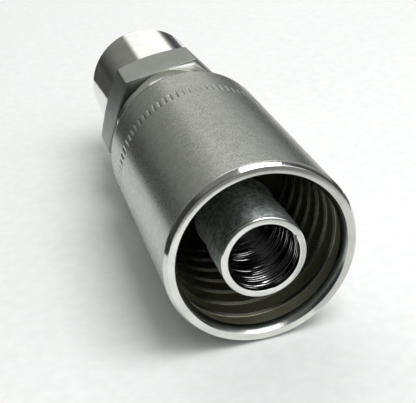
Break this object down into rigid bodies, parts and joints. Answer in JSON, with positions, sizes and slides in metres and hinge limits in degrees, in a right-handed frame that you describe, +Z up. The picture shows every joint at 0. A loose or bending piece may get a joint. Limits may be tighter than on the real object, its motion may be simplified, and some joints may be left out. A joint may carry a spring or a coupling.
{
  "type": "crimp hose fitting",
  "caption": "Crimp hose fitting: ridged steel shell swaged onto a hollow stem with a barbed hose nipple, wrench hexagon and plain tube end.",
  "frame": {"origin": "on the ground under the middle of the fitting, which lies on its side", "axes": "+Y along the fitting's axis from the hose mouth to the tube end, +Z up"},
  "size_m": [0.027, 0.0742, 0.027],
  "materials": {
    "shell_steel": "satin zinc plated",
    "stem_steel": "satin zinc plated, turned"
  },
  "bodies": {
    "root": {"stem": "stem_steel", "crimp_shell": "shell_steel"}
  },
  "joints": []
}
